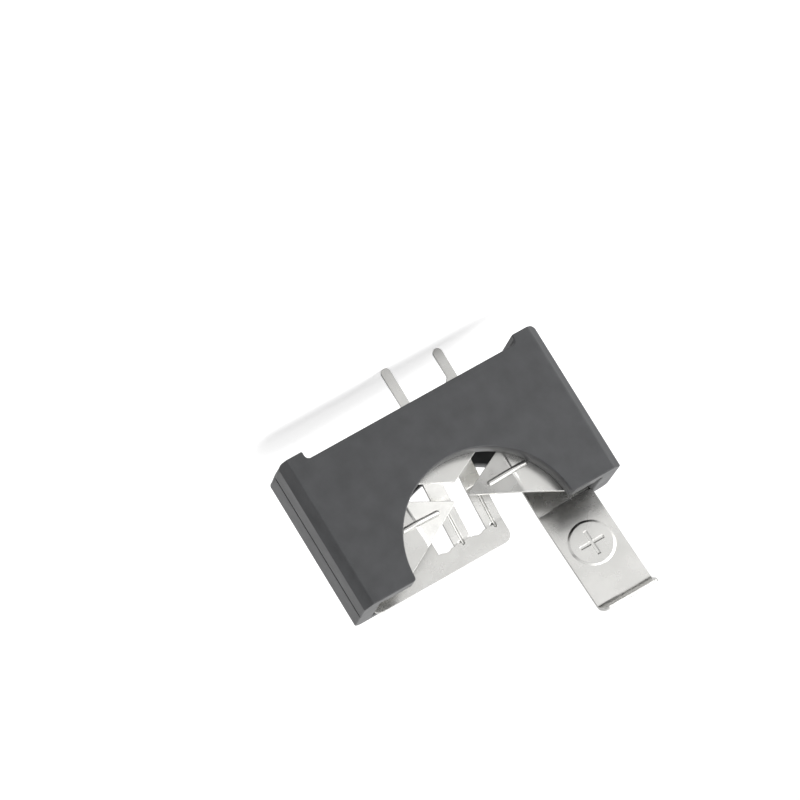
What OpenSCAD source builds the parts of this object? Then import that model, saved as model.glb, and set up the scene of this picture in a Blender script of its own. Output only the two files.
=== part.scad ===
/* [Cell] */
// Diameter of the coin cell that the holder takes
cell_d = 20; // [16:0.1:24]
// Thickness of the coin cell
cell_t = 3.2; // [2.4:0.1:5.4]
// Room between the edge of the cell and each side wall
cell_edge_gap = 0.15; // [0.05:0.05:0.5]
// Room across the thickness of the cell
cell_face_gap = 0.05; // [0:0.05:0.3]

/* [Housing] */
// Height of the housing from the board to its open edge
housing_h = 13.3; // [11:0.1:16]
// Thickness of the front wall
front_wall = 1.7; // [1:0.05:2.5]
// Thickness of the back wall
back_wall = 1.05; // [0.8:0.05:2]
// Thickness of each side wall beside the cell
side_wall = 1.85; // [1.2:0.05:3]
// Thickness of the floor that the cell stands on
floor_t = 0.94; // [0.6:0.02:1.6]
// Height of the feet under the floor
foot_h = 0.76; // [0.4:0.02:1.4]
// Length of each foot along the housing
foot_w = 2.2; // [1.2:0.1:4]
// Radius between each foot and the underside
foot_fillet = 0.4; // [0.1:0.05:0.4]
// Radius of the lower outer corners
heel_r = 0.45; // [0.1:0.05:0.8]
// Chamfer on the two upright front corners
front_chamfer = 0.71; // [0.2:0.01:1]
// Radius of the two upright back corners
back_corner_r = 0.85; // [0.2:0.05:1]
// Depth of the mould line down each outer side
seam_d = 0.06; // [0.02:0.01:0.12]
// Distance of the mould line behind the front face
seam_y = 3.1; // [2.5:0.1:4]

/* [Thumb notches] */
// Radius of the half-round notch in both faces
notch_r = 7.27; // [5:0.01:8]
// Rounding where a notch meets the open edge
notch_lip_r = 0.3; // [0.1:0.05:0.6]
// Chamfer that leads the cell into the mouth
lead_in = 0.3; // [0.1:0.05:0.5]

/* [Contact sheet] */
// Thickness of the sheet that both contacts are cut from
sheet_t = 0.3; // [0.2:0.05:0.4]
// Depth of the grooves that hold the edges of the sheets
groove_d = 0.3; // [0.15:0.05:0.5]
// Play of a sheet in its groove and of a pin in its slot
sheet_gap = 0.05; // [0.02:0.01:0.1]
// Inside radius of the gentle bends
bend_r = 1; // [0.5:0.1:1.5]
// Width of a stiffening rib
rib_w = 0.46; // [0.2:0.02:0.6]
// Depth of the groove behind a rib
rib_groove = 0.12; // [0.05:0.01:0.15]

/* [Pins] */
// Width of a solder pin
pin_w = 0.8; // [0.5:0.05:1.2]
// Reach of the pins below the board
pin_reach = 2.9; // [1.5:0.1:4]
// Place of the negative pin along the holder
negative_pin_x = 0.15; // [-4:0.05:4]
// Place of the positive pin along the holder
positive_pin_x = -5.4; // [-8:0.1:-4]
// Width of the shoulder beside the positive pin
shoulder_w = 0.4; // [0.2:0.05:0.8]
// Length of the taper that ends the shoulder
shoulder_taper = 0.45; // [0.2:0.05:0.8]

/* [Negative contact] */
// Gap between the tips of the two fingers
finger_gap = 1.35; // [0.8:0.05:3]
// Height of the finger tips above the floor
finger_tip_h = 7.35; // [6:0.05:9]
// Rise of the upper edge of a finger away from its tip
finger_rise = 28.4; // [20:0.1:34]
// Fall of the lower edge of a finger away from its tip
finger_fall = 25.7; // [15:0.1:30]
// Radius of a finger tip
finger_tip_r = 0.15; // [0.05:0.01:0.3]
// Distance of the fingers' bend lines from the middle
finger_bend_x = 4.65; // [4:0.05:5.2]
// Angle of the fingers into the cell space
finger_lean = 12; // [4:0.5:15]
// Width of the slots under the fingers
finger_slot = 1.35; // [0.6:0.05:1.8]
// Drop of the plate's top edge below the open edge
negative_drop = 0.6; // [0.3:0.05:1.5]
// Height of the finger ribs above the floor
finger_rib_h = 7.5; // [7:0.05:8]
// Distance of the inner end of a finger rib from the middle
finger_rib_x0 = 2.35; // [2:0.05:3]
// Distance of the outer end of a finger rib from the middle
finger_rib_x1 = 5.9; // [5.4:0.05:6]

/* [Positive contact] */
// Height of the band that joins the strip and the plate
band_h = 3.3; // [2:0.1:4]
// Stand of the plate above the open edge
plate_stand = 0.2; // [0:0.05:0.6]
// Radius of the plate's two top corners
plate_corner_r = 0.7; // [0.3:0.05:1]
// Width of a spring prong
prong_w = 1.55; // [1:0.05:1.8]
// Distance between the two prongs' middle lines
prong_pitch = 3; // [2.6:0.1:3.4]
// Place of the pair of prongs along the holder
prong_x = -0.45; // [-0.8:0.05:0.2]
// Height of the bar that the prongs hang from
prong_bar_h = 1.6; // [1.2:0.1:2.2]
// Start of a prong's lean below the tops of the windows beside it
prong_drop = 0.15; // [0.05:0.05:0.5]
// Length of a prong's rib above the bend
prong_rib_top = 0.3; // [0.25:0.05:0.5]
// Length of the upper run of a prong
prong_upper = 3.2; // [2.5:0.1:3.6]
// Length of the lower run of a prong
prong_lower = 2.3; // [1.5:0.1:2.6]
// Lean of the upper run into the cell space
prong_lean = 13; // [6:0.5:15]
// Further lean of the lower run
prong_lower_lean = 7; // [2:0.5:10]
// Rounding of a prong's free end
prong_end_r = 0.35; // [0.1:0.05:0.5]

/* [Release strip] */
// Width of the strip
strip_w = 5.1; // [4:0.1:6]
// Length of the strip above its lean
strip_len = 8.55; // [6:0.05:10]
// Depth inside the mouth at which the strip starts to lean
strip_root = 0.3; // [0.1:0.1:1]
// Lean of the strip towards the front
strip_lean = 7; // [2:0.5:10]
// Length of the flange at the end of the strip
flange_len = 1.3; // [0.8:0.05:2]
// Angle through which the flange is turned
flange_turn = 65; // [40:1:80]
// Inside radius of the flange's bend
flange_bend_r = 0.3; // [0.1:0.05:0.6]
// Radius of the flange's end corners
flange_corner_r = 0.45; // [0.2:0.05:0.7]
// Diameter of the dished polarity mark
mark_d = 3.9; // [3:0.1:4.2]
// Width of the slope round the dish
mark_slope = 0.2; // [0.1:0.05:0.4]
// Depth of the dish
mark_depth = 0.12; // [0.05:0.01:0.15]
// Height of the mark above the start of the strip
mark_h = 3.9; // [3:0.1:5]
// Length of the bars of the plus
plus_l = 2.4; // [1.6:0.1:2.6]
// Width of the bars of the plus
plus_w = 0.42; // [0.3:0.02:0.6]

/* [Hidden] */
$fn = 96;
eps = 0.01;

cell_half = cell_d / 2 + cell_edge_gap;
groove_half = cell_half + groove_d;
sheet_half = groove_half - sheet_gap;
body_w = 2 * (cell_half + side_wall);
pocket_t = cell_t + cell_face_gap + 2 * sheet_t;
body_t = front_wall + pocket_t + back_wall;

floor_z = foot_h + floor_t;
pocket_y0 = -body_t / 2 + front_wall;
pocket_y1 = pocket_y0 + pocket_t;
negative_y = pocket_y0;
cell_y0 = negative_y + sheet_t;
positive_y = pocket_y1 - sheet_t;
tip_z = -pin_reach;

// A finger's two edges start at a sharp point that its tip radius rounds off
finger_half_angle = (finger_rise + finger_fall) / 2;
finger_point_x = finger_gap / 2 - finger_tip_r * (1 / sin(finger_half_angle) - 1);
finger_point_z = floor_z + finger_tip_h;
negative_top = housing_h - negative_drop;
rib_z = floor_z + finger_rib_h;

strip_z = housing_h - strip_root;
plate_top = housing_h + plate_stand;
window_z = plate_top - prong_bar_h;
prong_z = window_z - prong_drop;
prong_places = [prong_x - prong_pitch / 2, prong_x + prong_pitch / 2];
window_w = prong_pitch - prong_w;
plate_x0 = prong_places[0] - prong_w / 2;
window_x1 = prong_places[1] + prong_w / 2 + window_w;
plate_x1 = sheet_half - 0.1;

function finger_upper(x) = finger_point_z + (x - finger_point_x) * tan(finger_rise);
function finger_lower(x) = finger_point_z - (x - finger_point_x) * tan(finger_fall);
// Where the fingers' upper edge would reach a height
function finger_upper_x(z) = finger_point_x + (z - finger_point_z) / tan(finger_rise);

// A flat outline in X and Z, given thickness along Y
module upright(y0, t) {
  translate([0, y0 + t, 0]) rotate([90, 0, 0]) linear_extrude(t) children();
}

// The piece between a square corner at the origin and the arc that rounds it
module corner(r) {
  difference() {
    translate([-eps, -eps]) square(r + eps);
    translate([r, r]) circle(r);
  }
}

// Both halves of a shape that is the same on each side of the middle
module both_sides() {
  children();
  mirror([1, 0, 0]) children();
}

// A bend of a sheet towards -Y, about an axis along X, with what follows the bend
module sheet_bend(angle, r, x0, w) {
  translate([0, -r, 0]) {
    rotate([90, 0, 90]) rotate_extrude(angle = angle) translate([r, x0]) square([sheet_t, w]);
    rotate([angle, 0, 0]) translate([0, r, 0]) children();
  }
}

// A round bar along Z with a ball on its end
module round_end(d, h) {
  cylinder(d = d, h = h);
  translate([0, 0, h]) sphere(d = d);
}

// A half-round rib over such a bend, centred on a face of the sheet
module bent_rib(angle, r, y, before, after, w) {
  translate([0, -r, 0]) {
    translate([0, r + y, 0]) mirror([0, 0, 1]) round_end(w, before);
    rotate([90, 0, 90]) rotate_extrude(angle = angle) translate([r + y, 0]) circle(d = w);
    rotate([angle, 0, 0]) translate([0, r + y, 0]) round_end(w, after);
  }
}

// ---- housing ----

module housing_plan() {
  difference() {
    square([body_w, body_t], center = true);
    both_sides() {
      translate([body_w / 2, -body_t / 2]) rotate(45) square(front_chamfer * sqrt(2), center = true);
      translate([body_w / 2, body_t / 2]) rotate(180) corner(back_corner_r);
      translate([body_w / 2, seam_y - body_t / 2]) rotate(45) square(seam_d * sqrt(2), center = true);
    }
  }
}

module housing_front() {
  inner_x = body_w / 2 - foot_w;
  difference() {
    translate([-body_w / 2, 0]) square([body_w, housing_h]);
    difference() {
      translate([-inner_x, -eps]) square([2 * inner_x, foot_h + eps]);
      both_sides() translate([inner_x, foot_h]) rotate(180) corner(foot_fillet);
    }
    both_sides() translate([body_w / 2, 0]) rotate(90) corner(heel_r);
  }
}

// The half-round notch with the rounding of its two lips
module notch_outline() {
  lip_x = sqrt(pow(notch_r + notch_lip_r, 2) - pow(notch_lip_r, 2));
  translate([0, housing_h]) {
    circle(notch_r);
    both_sides() difference() {
      polygon([[0, 1], [lip_x, 1], [lip_x, -notch_lip_r], [0, 0]]);
      translate([lip_x, -notch_lip_r]) circle(notch_lip_r);
    }
  }
}

module pocket() {
  room = housing_h - floor_z + 1;
  translate([-cell_half, pocket_y0, floor_z]) cube([2 * cell_half, pocket_t, room]);
  for (y = [pocket_y0, pocket_y1 - sheet_t - sheet_gap])
    translate([-groove_half, y, floor_z]) cube([2 * groove_half, sheet_t + sheet_gap, room]);
}

// Slopes round the mouth, one along each wall of the pocket
module mouth() {
  both_sides() translate([cell_half, 0, housing_h]) rotate([90, 0, 0])
    linear_extrude(pocket_t, center = true) rotate(45) square(lead_in * sqrt(2), center = true);
}

module pin_slots() {
  slot_t = sheet_t + 2 * sheet_gap;
  slot_w = pin_w + 2 * sheet_gap;
  translate([negative_pin_x - slot_w / 2, negative_y - sheet_gap, -1]) cube([slot_w, slot_t, floor_z + 2]);
  translate([positive_pin_x - slot_w / 2, positive_y - sheet_gap, -1])
    cube([slot_w + shoulder_w, slot_t, floor_z + 2]);
}

module housing() {
  color([0.30, 0.30, 0.32]) difference() {
    intersection() {
      linear_extrude(housing_h) housing_plan();
      upright(-body_t / 2, body_t) housing_front();
    }
    pocket();
    mouth();
    pin_slots();
    upright(-body_t, 2 * body_t) notch_outline();
  }
}

// ---- contacts ----

// A solder pin with a round tip, from the floor down
module pin_outline(x) {
  translate([x - pin_w / 2, tip_z + pin_w / 2]) square([pin_w, floor_z - tip_z - pin_w / 2 + eps]);
  translate([x, tip_z + pin_w / 2]) circle(pin_w / 2);
}

// The slot under a finger, with a round end behind the front wall
module finger_slot_outline() {
  len = finger_bend_x / cos(finger_fall);
  translate([0, finger_lower(0)]) rotate(-finger_fall) {
    translate([-finger_slot, -finger_slot]) square([finger_slot + len, finger_slot]);
    translate([len, -finger_slot / 2]) circle(finger_slot / 2);
  }
}

// The plate of the negative contact without its fingers
module negative_plate_outline() {
  difference() {
    union() {
      translate([-sheet_half, floor_z]) square([2 * sheet_half, negative_top - floor_z]);
      pin_outline(negative_pin_x);
    }
    both_sides() {
      polygon([
        [-eps, finger_lower(0)], [finger_bend_x, finger_lower(finger_bend_x)],
        [finger_bend_x, finger_upper(finger_bend_x)], [finger_upper_x(negative_top), negative_top],
        [finger_upper_x(negative_top), negative_top + 1], [-eps, negative_top + 1]
      ]);
      finger_slot_outline();
    }
  }
}

module finger_outline() {
  reach = finger_tip_r / tan(finger_half_angle);
  centre = finger_tip_r / sin(finger_half_angle);
  middle = (finger_rise - finger_fall) / 2;
  end_x = finger_bend_x + eps;
  up_x = finger_point_x + reach * cos(finger_rise);
  low_x = finger_point_x + reach * cos(finger_fall);
  difference() {
    union() {
      polygon([
        [up_x, finger_upper(up_x)], [end_x, finger_upper(end_x)],
        [end_x, finger_lower(end_x)], [low_x, finger_lower(low_x)]
      ]);
      translate([finger_point_x + centre * cos(middle), finger_point_z + centre * sin(middle)])
        circle(finger_tip_r);
    }
    finger_slot_outline();
  }
}

// Places a bend about the upright line where a finger leaves the plate
module at_finger_bend(z) {
  translate([finger_bend_x, cell_y0, z]) rotate([180, 90, 0]) children();
}

// One finger, bent out of the plate into the cell space
module finger() {
  intersection() {
    at_finger_bend(0) sheet_bend(finger_lean, bend_r, -housing_h, housing_h)
      translate([-housing_h, 0, 0]) cube([housing_h, sheet_t, 2 * finger_bend_x]);
    upright(-body_t, 2 * body_t) finger_outline();
  }
}

// A bar along a finger's middle and over its bend
module finger_rib(y, w) {
  before = finger_rib_x1 - finger_bend_x - w / 2;
  after = (finger_bend_x - finger_rib_x0) / cos(finger_lean) - bend_r * sin(finger_lean) - w / 2;
  at_finger_bend(rib_z) bent_rib(finger_lean, bend_r, y, before, after, w);
}

module negative_contact() {
  color([0.86, 0.86, 0.84]) difference() {
    union() {
      upright(negative_y, sheet_t) negative_plate_outline();
      both_sides() {
        finger();
        finger_rib(sheet_t, rib_w);
      }
    }
    both_sides() finger_rib(0, 2 * rib_groove);
  }
}

module positive_plate_outline() {
  difference() {
    union() {
      translate([-sheet_half, floor_z]) square([sheet_half + plate_x1, band_h]);
      translate([-sheet_half, floor_z]) square([strip_w, strip_z - floor_z]);
      difference() {
        translate([plate_x0, floor_z]) square([plate_x1 - plate_x0, plate_top - floor_z]);
        translate([plate_x0, plate_top]) rotate(270) corner(plate_corner_r);
        translate([plate_x1, plate_top]) rotate(180) corner(plate_corner_r);
      }
      pin_outline(positive_pin_x);
      translate([positive_pin_x + pin_w / 2, 0])
        polygon([[-eps, floor_z + eps], [shoulder_w, floor_z + eps], [shoulder_w, 0], [-eps, -shoulder_taper]]);
    }
    prong_windows();
  }
}

// The openings beside the prongs, round at the top, and the room that the prongs leave
module prong_windows() {
  low = floor_z + band_h;
  translate([plate_x0 - eps, low]) square([window_x1 - plate_x0 + eps, prong_z - low]);
  for (place = prong_places) translate([place + prong_pitch / 2, window_z - window_w / 2]) {
    circle(window_w / 2);
    translate([-window_w / 2, -window_w]) square([window_w, window_w]);
  }
}

// A prong's run with a rounded free end
module prong_end() {
  upright(0, sheet_t) difference() {
    translate([-prong_w / 2, 0]) square([prong_w, prong_lower]);
    translate([prong_w / 2, prong_lower]) rotate(180) corner(prong_end_r);
    translate([-prong_w / 2, prong_lower]) rotate(270) corner(prong_end_r);
  }
}

// Places the bend where a prong hangs from the bar, upside down
module at_prongs() {
  for (place = prong_places) translate([place, positive_y, prong_z]) mirror([0, 0, 1]) children();
}

// A spring prong that leans into the cell space in two runs
module prong() {
  sheet_bend(prong_lean, bend_r, -prong_w / 2, prong_w) {
    translate([-prong_w / 2, 0, 0]) cube([prong_w, sheet_t, prong_upper]);
    translate([0, 0, prong_upper]) sheet_bend(prong_lower_lean, bend_r, -prong_w / 2, prong_w) prong_end();
  }
}

// A bar down the upper run of a prong and over its bend
module prong_rib(y, w) {
  bent_rib(prong_lean, bend_r, y, prong_rib_top - w / 2, prong_upper - rib_w, w);
}

// The dish and its plus, with the dish's own back standing proud behind the strip
module mark(grow) {
  rotate([-90, 0, 0]) cylinder(d1 = mark_d + grow, d2 = mark_d - 2 * mark_slope + grow, h = mark_depth);
}

module plus() {
  for (angle = [0, 90]) rotate([0, angle, 0])
    translate([-plus_l / 2, 0, -plus_w / 2]) cube([plus_l, sheet_t, plus_w]);
}

module flange() {
  upright(0, sheet_t) difference() {
    square([strip_w, flange_len]);
    translate([strip_w, flange_len]) rotate(180) corner(flange_corner_r);
    translate([0, flange_len]) rotate(270) corner(flange_corner_r);
  }
}

// The strip outside the housing, which leans to the front and ends in a flange
module strip() {
  sheet_bend(strip_lean, bend_r, 0, strip_w) {
    difference() {
      union() {
        cube([strip_w, sheet_t, strip_len]);
        translate([strip_w / 2, sheet_t, mark_h]) mark(0);
      }
      translate([strip_w / 2, -eps, mark_h]) mark(0);
    }
    translate([strip_w / 2, 0, mark_h]) plus();
    translate([0, 0, strip_len]) sheet_bend(flange_turn, flange_bend_r, 0, strip_w) flange();
  }
}

module positive_contact() {
  color([0.80, 0.80, 0.78]) difference() {
    union() {
      upright(positive_y, sheet_t) positive_plate_outline();
      at_prongs() {
        prong();
        prong_rib(sheet_t, rib_w);
      }
      translate([-sheet_half, positive_y, strip_z]) strip();
    }
    at_prongs() prong_rib(0, 2 * rib_groove);
  }
}

housing();
positive_contact();
negative_contact();
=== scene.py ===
import math

import bmesh
import bpy
from mathutils import Matrix, Vector


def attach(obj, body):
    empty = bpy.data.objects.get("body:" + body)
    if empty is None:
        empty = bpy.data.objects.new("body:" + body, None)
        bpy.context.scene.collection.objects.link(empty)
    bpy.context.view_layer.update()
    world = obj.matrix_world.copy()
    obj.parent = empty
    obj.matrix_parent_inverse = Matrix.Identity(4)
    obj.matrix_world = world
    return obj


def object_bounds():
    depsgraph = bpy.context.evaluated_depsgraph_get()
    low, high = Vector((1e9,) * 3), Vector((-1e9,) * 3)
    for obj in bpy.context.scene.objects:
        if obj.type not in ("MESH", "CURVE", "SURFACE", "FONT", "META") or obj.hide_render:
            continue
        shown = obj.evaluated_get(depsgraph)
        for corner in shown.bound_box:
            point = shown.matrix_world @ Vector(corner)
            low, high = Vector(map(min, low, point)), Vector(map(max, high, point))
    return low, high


bl_info = {
    "name": "Coin cell holder",
    "version": (1, 0, 0),
    "blender": (4, 5, 0),
    "location": "View3D > Sidebar > Cell holder",
    "description": "Moulded housing and bright sheet contacts of an upright coin cell holder",
    "category": "Object",
}

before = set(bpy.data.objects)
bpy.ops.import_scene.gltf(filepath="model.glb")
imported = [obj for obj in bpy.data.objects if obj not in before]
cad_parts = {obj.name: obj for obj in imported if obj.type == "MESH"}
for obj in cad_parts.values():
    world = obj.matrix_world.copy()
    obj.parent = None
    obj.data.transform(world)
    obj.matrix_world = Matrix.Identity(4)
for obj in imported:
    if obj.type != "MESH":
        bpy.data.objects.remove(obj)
CAD_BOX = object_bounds()
MM = 0.001

# The middle of the mark on the front of the leaning strip, and the strip's lean
MARK_PLACE = Vector((-7.85, 1.467, 16.99)) * MM
STRIP_LEAN = math.radians(7)

# How far the foot of the disc sinks into the strip
DISC_SINK = 0.015 * MM
# How far the cutter of the plus stands proud of the disc
CUTTER_PROUD = 0.05 * MM
# Share of the length and of the width of a bar of the plus that is left at its foot
BAR_FOOT = (0.94, 0.55)
# Meeting points of a CAD mesh, faces that lie in one plane, and edges sharp enough to be rounded
WELD_DISTANCE = 0.0005 * MM
FLAT_ANGLE = math.radians(0.6)
SHARP_ANGLE = math.radians(32)
DISC_SHARP_ANGLE = math.radians(12)
# Cells per metre of the uneven colour of each surface, and of the grain rolled into the sheet
PLASTIC_MOTTLE = 700.0
SHEET_HAZE = 420.0
ROLLED_GRAIN = 5000.0
# The part of a noise's values that a material spreads over its tones
MOTTLE_RANGE = (0.3, 0.7)
HAZE_RANGE = (0.35, 0.65)
# Shares of the set colour at the dark and the light end of the unevenness
PLASTIC_TONES = (0.88, 1.12)
SHEET_TONES = (0.90, 1.00)
# The grain is drawn out along the height of the sheet
ROLLED_STRETCH = (1.0, 1.0, 0.06)
# What the lamps point at, the size of the main lamp, and the place and size of the fill lamp
LAMP_TARGET = (0, 0, 0.01)
KEY_SIZE = (0.16, 0.14)
FILL_PLACE = (0.05, -0.30, 0.45)
FILL_SIZE = (0.35, 0.35)
CARD_LIFT = 0.1 * MM
CARD_STEPS = 24


# ---- sizes and colours -------------------------------------------------------------------


class HousingSettings(bpy.types.PropertyGroup):
    colour: bpy.props.FloatVectorProperty(
        name="Colour", description="Colour of the moulded plastic",
        subtype="COLOR", size=3, min=0.0, max=1.0, default=(0.045, 0.046, 0.0485),
    )
    roughness: bpy.props.FloatProperty(
        name="Roughness", description="Roughness of the eroded mould finish",
        subtype="FACTOR", min=0.0, max=1.0, default=0.38,
    )
    edge_radius: bpy.props.FloatProperty(
        name="Edge radius", description="Rounding of the moulded edges",
        subtype="DISTANCE", unit="LENGTH", min=0.0, default=0.10 * MM,
    )
    grain: bpy.props.FloatProperty(
        name="Grain", description="Size of the texture left by the mould",
        subtype="DISTANCE", unit="LENGTH", min=0.0, default=0.12 * MM,
    )


class ContactSettings(bpy.types.PropertyGroup):
    colour: bpy.props.FloatVectorProperty(
        name="Colour", description="Colour of the plated sheet",
        subtype="COLOR", size=3, min=0.0, max=1.0, default=(0.66, 0.655, 0.635),
    )
    roughness: bpy.props.FloatProperty(
        name="Roughness", description="Roughness of the bright plating",
        subtype="FACTOR", min=0.0, max=1.0, default=0.25,
    )
    edge_radius: bpy.props.FloatProperty(
        name="Edge radius", description="Rounding of the cut edges of the sheet",
        subtype="DISTANCE", unit="LENGTH", min=0.0, default=0.035 * MM,
    )
    disc_diameter: bpy.props.FloatProperty(
        name="Disc diameter", description="Diameter of the raised polarity disc at its foot",
        subtype="DISTANCE", unit="LENGTH", min=0.0, default=3.96 * MM,
    )
    disc_height: bpy.props.FloatProperty(
        name="Disc height", description="Height of the polarity disc above the strip",
        subtype="DISTANCE", unit="LENGTH", min=0.0, default=0.11 * MM,
    )
    disc_slope: bpy.props.FloatProperty(
        name="Disc slope", description="Width of the sloping rim of the disc",
        subtype="DISTANCE", unit="LENGTH", min=0.0, default=0.22 * MM,
    )
    plus_length: bpy.props.FloatProperty(
        name="Plus length", description="Length of the bars of the sunk plus",
        subtype="DISTANCE", unit="LENGTH", min=0.0, default=2.25 * MM,
    )
    plus_width: bpy.props.FloatProperty(
        name="Plus width", description="Width of the bars of the sunk plus",
        subtype="DISTANCE", unit="LENGTH", min=0.0, default=0.38 * MM,
    )


class StageSettings(bpy.types.PropertyGroup):
    floor_size: bpy.props.FloatProperty(
        name="Floor size", description="Side of the square floor",
        subtype="DISTANCE", unit="LENGTH", min=0.1, default=3.0,
    )
    floor_lift: bpy.props.FloatProperty(
        name="Floor lift", description="Extra brightness of the floor where it is seen directly",
        min=0.0, default=0.52,
    )
    room_light: bpy.props.FloatProperty(
        name="Room light", description="Brightness of the even light of the room",
        min=0.0, default=0.62,
    )
    key_place: bpy.props.FloatVectorProperty(
        name="Key light", description="Place of the main lamp",
        subtype="XYZ", unit="LENGTH", size=3, default=(-0.13, -0.09, 0.07),
    )
    key_power: bpy.props.FloatProperty(
        name="Key power", description="Power of the main lamp, in watts", min=0.0, default=0.22,
    )
    fill_power: bpy.props.FloatProperty(
        name="Fill power", description="Power of the lamp above the camera, in watts",
        min=0.0, default=1.2,
    )
    card_distance: bpy.props.FloatProperty(
        name="Card distance", description="Distance of the black card from the holder",
        subtype="DISTANCE", unit="LENGTH", default=0.070,
    )
    card_height: bpy.props.FloatProperty(
        name="Card height", description="Height of the black card",
        subtype="DISTANCE", unit="LENGTH", default=0.010,
    )
    card_start: bpy.props.FloatProperty(
        name="Card start", description="Direction in which the black card starts",
        subtype="ANGLE", unit="ROTATION", default=math.radians(2),
    )
    card_sweep: bpy.props.FloatProperty(
        name="Card sweep", description="Angle that the black card covers",
        subtype="ANGLE", unit="ROTATION", default=math.radians(80),
    )
    camera_place: bpy.props.FloatVectorProperty(
        name="Camera", description="Place of the camera",
        subtype="XYZ", unit="LENGTH", size=3, default=(0.1137, -0.4024, 0.0659),
    )
    camera_aim: bpy.props.FloatVectorProperty(
        name="Aim", description="Direction that the camera looks in",
        subtype="XYZ", size=3, default=(-0.2688, 0.9504, -0.1564),
    )
    camera_up: bpy.props.FloatVectorProperty(
        name="Up", description="Direction that is up in the camera's view",
        subtype="XYZ", size=3, default=(-0.4679, -0.2708, -0.8413),
    )
    focal: bpy.props.FloatProperty(
        name="Focal length", description="Focal length of the camera, in millimetres",
        min=1.0, default=240.1,
    )


# ---- materials ---------------------------------------------------------------------------


def new_material(name):
    """An empty node material with its shader and output in place."""
    material = bpy.data.materials.new(name)
    material.use_nodes = True
    nodes = material.node_tree.nodes
    nodes.clear()
    shader = nodes.new("ShaderNodeBsdfPrincipled")
    output = nodes.new("ShaderNodeOutputMaterial")
    material.node_tree.links.new(shader.outputs["BSDF"], output.inputs["Surface"])
    return material, shader


def object_noise(tree, place):
    """A noise on a mapped place, whose scale and detail are set by links or values."""
    noise = tree.nodes.new("ShaderNodeTexNoise")
    noise.inputs["Roughness"].default_value = 0.5
    tree.links.new(place, noise.inputs["Vector"])
    return noise


def surface_finish():
    """The uneven tone and the fine grain that both surfaces use, built once as a node group."""
    group = bpy.data.node_groups.get("surface_finish")
    if group:
        return group
    group = bpy.data.node_groups.new("surface_finish", "ShaderNodeTree")
    for name, value in (("Mottle Scale", 500.0), ("Mottle Detail", 3.0), ("Grain Scale", 5000.0),
                        ("Bump Strength", 0.2), ("Bump Distance", 0.01 * MM)):
        socket = group.interface.new_socket(name=name, in_out="INPUT", socket_type="NodeSocketFloat")
        socket.default_value = value
    stretch = group.interface.new_socket(
        name="Grain Stretch", in_out="INPUT", socket_type="NodeSocketVector"
    )
    stretch.default_value = (1.0, 1.0, 1.0)
    group.interface.new_socket(name="Mottle", in_out="OUTPUT", socket_type="NodeSocketFloat")
    group.interface.new_socket(name="Normal", in_out="OUTPUT", socket_type="NodeSocketVector")
    nodes, links = group.nodes, group.links
    given = nodes.new("NodeGroupInput")
    result = nodes.new("NodeGroupOutput")
    place = nodes.new("ShaderNodeTexCoord")
    plain = nodes.new("ShaderNodeMapping")
    drawn = nodes.new("ShaderNodeMapping")
    links.new(given.outputs["Grain Stretch"], drawn.inputs["Scale"])
    for mapping in (plain, drawn):
        links.new(place.outputs["Object"], mapping.inputs["Vector"])
    mottle = object_noise(group, plain.outputs["Vector"])
    grain = object_noise(group, drawn.outputs["Vector"])
    grain.inputs["Detail"].default_value = 2.0
    bump = nodes.new("ShaderNodeBump")
    for source, target in (
        (given.outputs["Mottle Scale"], mottle.inputs["Scale"]),
        (given.outputs["Mottle Detail"], mottle.inputs["Detail"]),
        (given.outputs["Grain Scale"], grain.inputs["Scale"]),
        (given.outputs["Bump Strength"], bump.inputs["Strength"]),
        (given.outputs["Bump Distance"], bump.inputs["Distance"]),
        (grain.outputs["Fac"], bump.inputs["Height"]),
        (mottle.outputs["Fac"], result.inputs["Mottle"]),
        (bump.outputs["Normal"], result.inputs["Normal"]),
    ):
        links.new(source, target)
    return group


def place_finish(tree, **values):
    """Puts the shared finish in a material, with its own values."""
    node = tree.nodes.new("ShaderNodeGroup")
    node.node_tree = surface_finish()
    for name, value in values.items():
        node.inputs[name.replace("_", " ").title()].default_value = value
    return node


def tinted(tree, shader, mask, dark, light):
    """Base colour that runs between two tones with a mask."""
    tint = tree.nodes.new("ShaderNodeMix")
    tint.data_type = "RGBA"
    tint.inputs["A"].default_value = (*dark, 1.0)
    tint.inputs["B"].default_value = (*light, 1.0)
    tree.links.new(mask, tint.inputs["Factor"])
    tree.links.new(tint.outputs["Result"], shader.inputs["Base Color"])


def ramp(tree, source, low, high, dark, light):
    """Maps a source from low..high to dark..light."""
    node = tree.nodes.new("ShaderNodeMapRange")
    node.inputs["From Min"].default_value = low
    node.inputs["From Max"].default_value = high
    node.inputs["To Min"].default_value = dark
    node.inputs["To Max"].default_value = light
    tree.links.new(source, node.inputs["Value"])
    return node.outputs["Result"]


def plastic(settings):
    """Dark grey moulded plastic with a fine even grain."""
    material, shader = new_material("moulded_plastic")
    tree = material.node_tree
    finish = place_finish(
        tree, mottle_scale=PLASTIC_MOTTLE, mottle_detail=3.0, grain_scale=1.0 / settings.grain,
        bump_strength=0.35, bump_distance=0.012 * MM,
    )
    mottle = finish.outputs["Mottle"]
    colour = Vector(settings.colour)
    mask = ramp(tree, mottle, *MOTTLE_RANGE, 0.0, 1.0)
    tinted(tree, shader, mask, colour * PLASTIC_TONES[0], colour * PLASTIC_TONES[1])
    rough = ramp(
        tree, mottle, *MOTTLE_RANGE, settings.roughness - 0.04, settings.roughness + 0.05
    )
    tree.links.new(rough, shader.inputs["Roughness"])
    tree.links.new(finish.outputs["Normal"], shader.inputs["Normal"])
    return material


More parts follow.
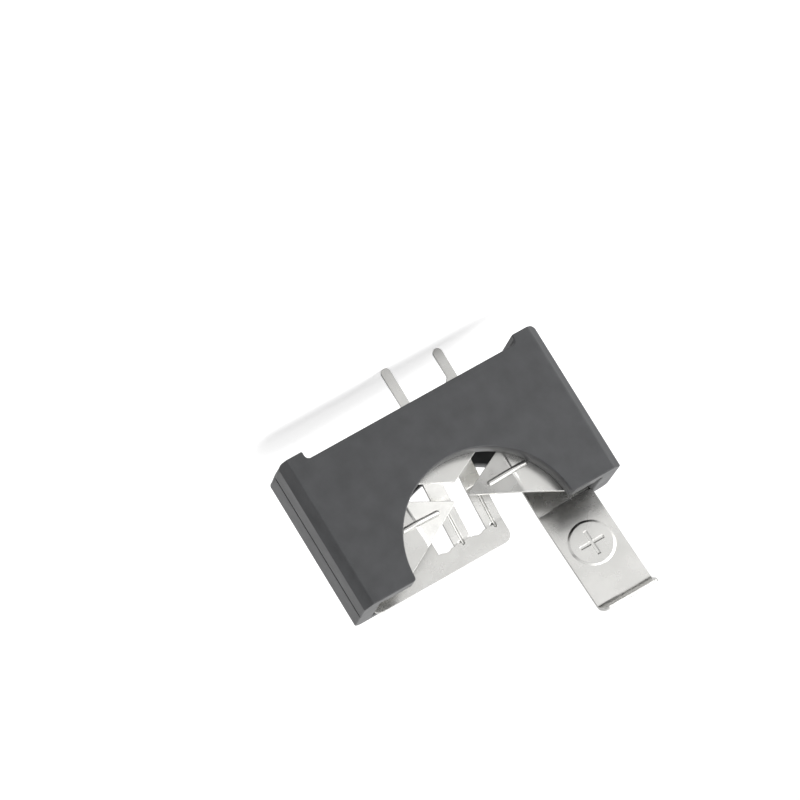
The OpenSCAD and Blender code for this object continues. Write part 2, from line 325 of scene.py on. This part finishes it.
def plating(settings):
    """Bright plated sheet with a faint rolling grain and handling haze."""
    material, shader = new_material("plated_sheet")
    tree = material.node_tree
    shader.inputs["Metallic"].default_value = 1.0
    finish = place_finish(
        tree, mottle_scale=SHEET_HAZE, mottle_detail=4.0, grain_scale=ROLLED_GRAIN,
        grain_stretch=ROLLED_STRETCH, bump_strength=0.10, bump_distance=0.004 * MM,
    )
    haze = finish.outputs["Mottle"]
    colour = Vector(settings.colour)
    mask = ramp(tree, haze, *HAZE_RANGE, 0.0, 1.0)
    tinted(tree, shader, mask, colour * SHEET_TONES[0], colour * SHEET_TONES[1])
    rough = ramp(tree, haze, *MOTTLE_RANGE, settings.roughness - 0.03, settings.roughness + 0.06)
    tree.links.new(rough, shader.inputs["Roughness"])
    tree.links.new(finish.outputs["Normal"], shader.inputs["Normal"])
    return material


# ---- pieces ------------------------------------------------------------------------------


def link(name, data):
    """A new object in the scene."""
    thing = bpy.data.objects.new(name, data)
    bpy.context.scene.collection.objects.link(thing)
    return thing


def as_mesh(name, shape):
    """A mesh made of a bmesh, which is let go."""
    mesh = bpy.data.meshes.new(name)
    shape.to_mesh(mesh)
    shape.free()
    return mesh


def finish_node(name, material, edge_radius, segments):
    """Gives a CAD node its material and softens its sharp edges with modifiers."""
    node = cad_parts[name]
    node.data.materials.clear()
    node.data.materials.append(material)
    weld = node.modifiers.new("Weld", "WELD")
    weld.merge_threshold = WELD_DISTANCE
    flat = node.modifiers.new("Flat", "DECIMATE")
    flat.decimate_type = "DISSOLVE"
    flat.angle_limit = FLAT_ANGLE
    bevel = node.modifiers.new("Edges", "BEVEL")
    bevel.width = edge_radius
    bevel.segments = segments
    bevel.limit_method = "ANGLE"
    bevel.angle_limit = SHARP_ANGLE
    bevel.use_clamp_overlap = False
    bevel.harden_normals = True


class HOLDER_OT_housing(bpy.types.Operator):
    """Finish the moulded housing"""

    bl_idname = "holder.housing"
    bl_label = "Housing"

    def execute(self, context):
        settings = context.scene.holder_housing
        finish_node("housing", plastic(settings), settings.edge_radius, 2)
        return {"FINISHED"}


def plus_cutter(settings):
    """Two crossed bars with sloping sides that sink the plus into the disc."""
    bars = bmesh.new()
    depth = settings.disc_height
    for turn in (0, 90):
        bar = bmesh.ops.create_cube(bars, size=1.0)["verts"]
        bmesh.ops.scale(bars, verts=bar, vec=(settings.plus_length, settings.plus_width, depth))
        foot = [vert for vert in bar if vert.co.z < 0]
        bmesh.ops.scale(bars, verts=foot, vec=(*BAR_FOOT, 1.0))
        bmesh.ops.translate(bars, verts=bar, vec=(0, 0, depth / 2 + CUTTER_PROUD))
        crossed = Matrix.Rotation(math.radians(turn), 3, "Z")
        bmesh.ops.rotate(bars, verts=bar, cent=(0, 0, 0), matrix=crossed)
    return bars


def polarity_disc(settings, material):
    """The raised round mark with its sunk plus, on the front of the strip."""
    disc = bmesh.new()
    radius = settings.disc_diameter / 2
    foot = bmesh.ops.create_circle(disc, cap_ends=True, segments=96, radius=radius)["verts"]
    bmesh.ops.translate(disc, verts=foot, vec=(0, 0, -DISC_SINK))
    grown = bmesh.ops.extrude_face_region(disc, geom=disc.faces[:], use_keep_orig=True)["geom"]
    top = [part for part in grown if isinstance(part, bmesh.types.BMVert)]
    shrink = 1.0 - settings.disc_slope / radius
    bmesh.ops.scale(disc, verts=top, vec=(shrink, shrink, 1.0))
    bmesh.ops.translate(disc, verts=top, vec=(0, 0, settings.disc_height + DISC_SINK))
    bmesh.ops.recalc_face_normals(disc, faces=disc.faces[:])
    piece = link("polarity_disc", as_mesh("polarity_disc", disc))
    cutter = link("plus_cutter", as_mesh("plus_cutter", plus_cutter(settings)))
    cut = piece.modifiers.new("Plus", "BOOLEAN")
    cut.operation = "DIFFERENCE"
    cut.solver = "EXACT"
    cut.use_self = True
    cut.object = cutter
    rim = piece.modifiers.new("Edges", "BEVEL")
    rim.width = settings.edge_radius
    rim.segments = 2
    rim.limit_method = "ANGLE"
    rim.angle_limit = DISC_SHARP_ANGLE
    bpy.context.view_layer.update()
    graph = bpy.context.evaluated_depsgraph_get()
    finished = bpy.data.meshes.new_from_object(piece.evaluated_get(graph))
    piece.modifiers.clear()
    piece.data = finished
    bpy.data.objects.remove(cutter)
    stand = Matrix.Rotation(math.radians(90) + STRIP_LEAN, 4, "X")
    finished.transform(Matrix.Translation(MARK_PLACE) @ stand)
    for face in finished.polygons:
        face.use_smooth = False
    finished.materials.append(material)
    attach(piece, "root")


class HOLDER_OT_contacts(bpy.types.Operator):
    """Finish the two sheet contacts"""

    bl_idname = "holder.contacts"
    bl_label = "Contacts"

    def execute(self, context):
        settings = context.scene.holder_contacts
        material = plating(settings)
        for name in ("positive_contact", "negative_contact"):
            finish_node(name, material, settings.edge_radius, 1)
        polarity_disc(settings, material)
        return {"FINISHED"}


def seen_directly(tree, names):
    """A value of one for rays of the named kinds, and of nought for all others."""
    path = tree.nodes.new("ShaderNodeLightPath")
    total = path.outputs[names[0]]
    for name in names[1:]:
        both = tree.nodes.new("ShaderNodeMath")
        both.operation = "MAXIMUM"
        tree.links.new(total, both.inputs[0])
        tree.links.new(path.outputs[name], both.inputs[1])
        total = both.outputs["Value"]
    return total


def floor_material(settings):
    """A matt pale floor that shows as white where it is seen, and keeps the holder's shadow."""
    material, shader = new_material("pale_floor")
    tree = material.node_tree
    shader.inputs["Base Color"].default_value = (0.8, 0.8, 0.8, 1.0)
    shader.inputs["Roughness"].default_value = 0.9
    shader.inputs["Specular IOR Level"].default_value = 0.1
    shader.inputs["Emission Color"].default_value = (1.0, 1.0, 1.0, 1.0)
    direct = seen_directly(tree, ("Is Camera Ray", "Is Transmission Ray"))
    lift = tree.nodes.new("ShaderNodeMath")
    lift.operation = "MULTIPLY"
    lift.inputs[1].default_value = settings.floor_lift
    tree.links.new(direct, lift.inputs[0])
    tree.links.new(lift.outputs["Value"], shader.inputs["Emission Strength"])
    return material


def studio_world(settings):
    """An even pale room, white where the camera or a reflection sees it."""
    world = bpy.data.worlds.new("studio")
    world.use_nodes = True
    tree = world.node_tree
    background = tree.nodes["Background"]
    background.inputs["Color"].default_value = (1.0, 1.0, 1.0, 1.0)
    direct = seen_directly(tree, ("Is Camera Ray", "Is Glossy Ray", "Is Transmission Ray"))
    tree.links.new(
        ramp(tree, direct, 0.0, 1.0, settings.room_light, 1.0), background.inputs["Strength"]
    )
    return world


def add_softbox(name, place, size, power):
    """A soft lamp that faces the holder and shows only in reflections."""
    lamp = bpy.data.lights.new(name, "AREA")
    lamp.shape = "RECTANGLE"
    lamp.size, lamp.size_y = size
    lamp.energy = power
    thing = link(name, lamp)
    aim = (Vector(LAMP_TARGET) - Vector(place)).normalized()
    turn = aim.to_track_quat("-Z", "Y").to_matrix().to_4x4()
    thing.matrix_world = Matrix.Translation(place) @ turn
    thing.visible_camera = False


def add_dark_card(settings):
    """A low curved black card that gives the bright sheet something dark to reflect."""
    card = bmesh.new()
    low = (0, -settings.card_distance, CAD_BOX[0].z + CARD_LIFT)
    start = bmesh.ops.create_vert(card, co=low)["vert"]
    foot = Matrix.Rotation(settings.card_start, 3, "Z")
    bmesh.ops.rotate(card, verts=start, cent=(0, 0, 0), matrix=foot)
    bmesh.ops.spin(
        card, geom=start, cent=(0, 0, 0), axis=(0, 0, 1), angle=settings.card_sweep,
        steps=CARD_STEPS, use_merge=False,
    )
    top = bmesh.ops.extrude_edge_only(card, edges=card.edges[:])["geom"]
    rise = [part for part in top if isinstance(part, bmesh.types.BMVert)]
    bmesh.ops.translate(card, verts=rise, vec=(0, 0, settings.card_height))
    mesh = as_mesh("dark_card", card)
    material, shader = new_material("black_card")
    shader.inputs["Base Color"].default_value = (0.02, 0.02, 0.02, 1.0)
    shader.inputs["Roughness"].default_value = 1.0
    mesh.materials.append(material)
    thing = link("dark_card", mesh)
    thing.visible_camera = False
    thing.visible_diffuse = False
    thing.visible_shadow = False


class HOLDER_OT_stage(bpy.types.Operator):
    """Make the floor, the studio light and the camera"""

    bl_idname = "holder.stage"
    bl_label = "Stage"

    def execute(self, context):
        settings = context.scene.holder_stage
        self.make_floor(settings)
        context.scene.world = studio_world(settings)
        add_softbox("key_light", settings.key_place, KEY_SIZE, settings.key_power)
        add_softbox("fill_light", FILL_PLACE, FILL_SIZE, settings.fill_power)
        add_dark_card(settings)
        self.make_camera(context, settings)
        context.scene.view_settings.view_transform = "Standard"
        return {"FINISHED"}

    def make_floor(self, settings):
        grid = bmesh.new()
        bmesh.ops.create_grid(grid, x_segments=1, y_segments=1, size=settings.floor_size / 2)
        bmesh.ops.translate(grid, verts=grid.verts, vec=(0, 0, CAD_BOX[0].z))
        mesh = as_mesh("floor", grid)
        mesh.materials.append(floor_material(settings))
        link("floor", mesh)

    def make_camera(self, context, settings):
        data = bpy.data.cameras.new("camera")
        data.lens = settings.focal
        data.sensor_width = 36.0
        data.clip_start = 0.01
        data.clip_end = 20.0
        camera = link("camera", data)
        back = -Vector(settings.camera_aim).normalized()
        right = Vector(settings.camera_up).cross(back).normalized()
        up = back.cross(right)
        turn = Matrix((right, up, back)).transposed().to_4x4()
        camera.matrix_world = Matrix.Translation(settings.camera_place) @ turn
        context.scene.camera = camera


class HOLDER_PT_panel(bpy.types.Panel):
    bl_idname = "HOLDER_PT_panel"
    bl_label = "Cell holder"
    bl_space_type = "VIEW_3D"
    bl_region_type = "UI"
    bl_category = "Cell holder"

    def draw(self, context):
        layout = self.layout
        for operator, group in STEPS:
            layout.operator(operator)
            settings = getattr(context.scene, group)
            for name in settings.bl_rna.properties.keys():
                if name not in ("rna_type", "name"):
                    layout.prop(settings, name)


STEPS = (
    ("holder.housing", "holder_housing"),
    ("holder.contacts", "holder_contacts"),
    ("holder.stage", "holder_stage"),
)
GROUPS = {
    "holder_housing": HousingSettings,
    "holder_contacts": ContactSettings,
    "holder_stage": StageSettings,
}
CLASSES = (*GROUPS.values(), HOLDER_OT_housing, HOLDER_OT_contacts, HOLDER_OT_stage, HOLDER_PT_panel)


def register():
    for cls in CLASSES:
        bpy.utils.register_class(cls)
    for name, group in GROUPS.items():
        setattr(bpy.types.Scene, name, bpy.props.PointerProperty(type=group))


def unregister():
    for name in GROUPS:
        delattr(bpy.types.Scene, name)
    for cls in reversed(CLASSES):
        bpy.utils.unregister_class(cls)


def main():
    register()
    bpy.ops.holder.housing()
    bpy.ops.holder.contacts()
    bpy.ops.holder.stage()


if __name__ == "__main__":
    main()
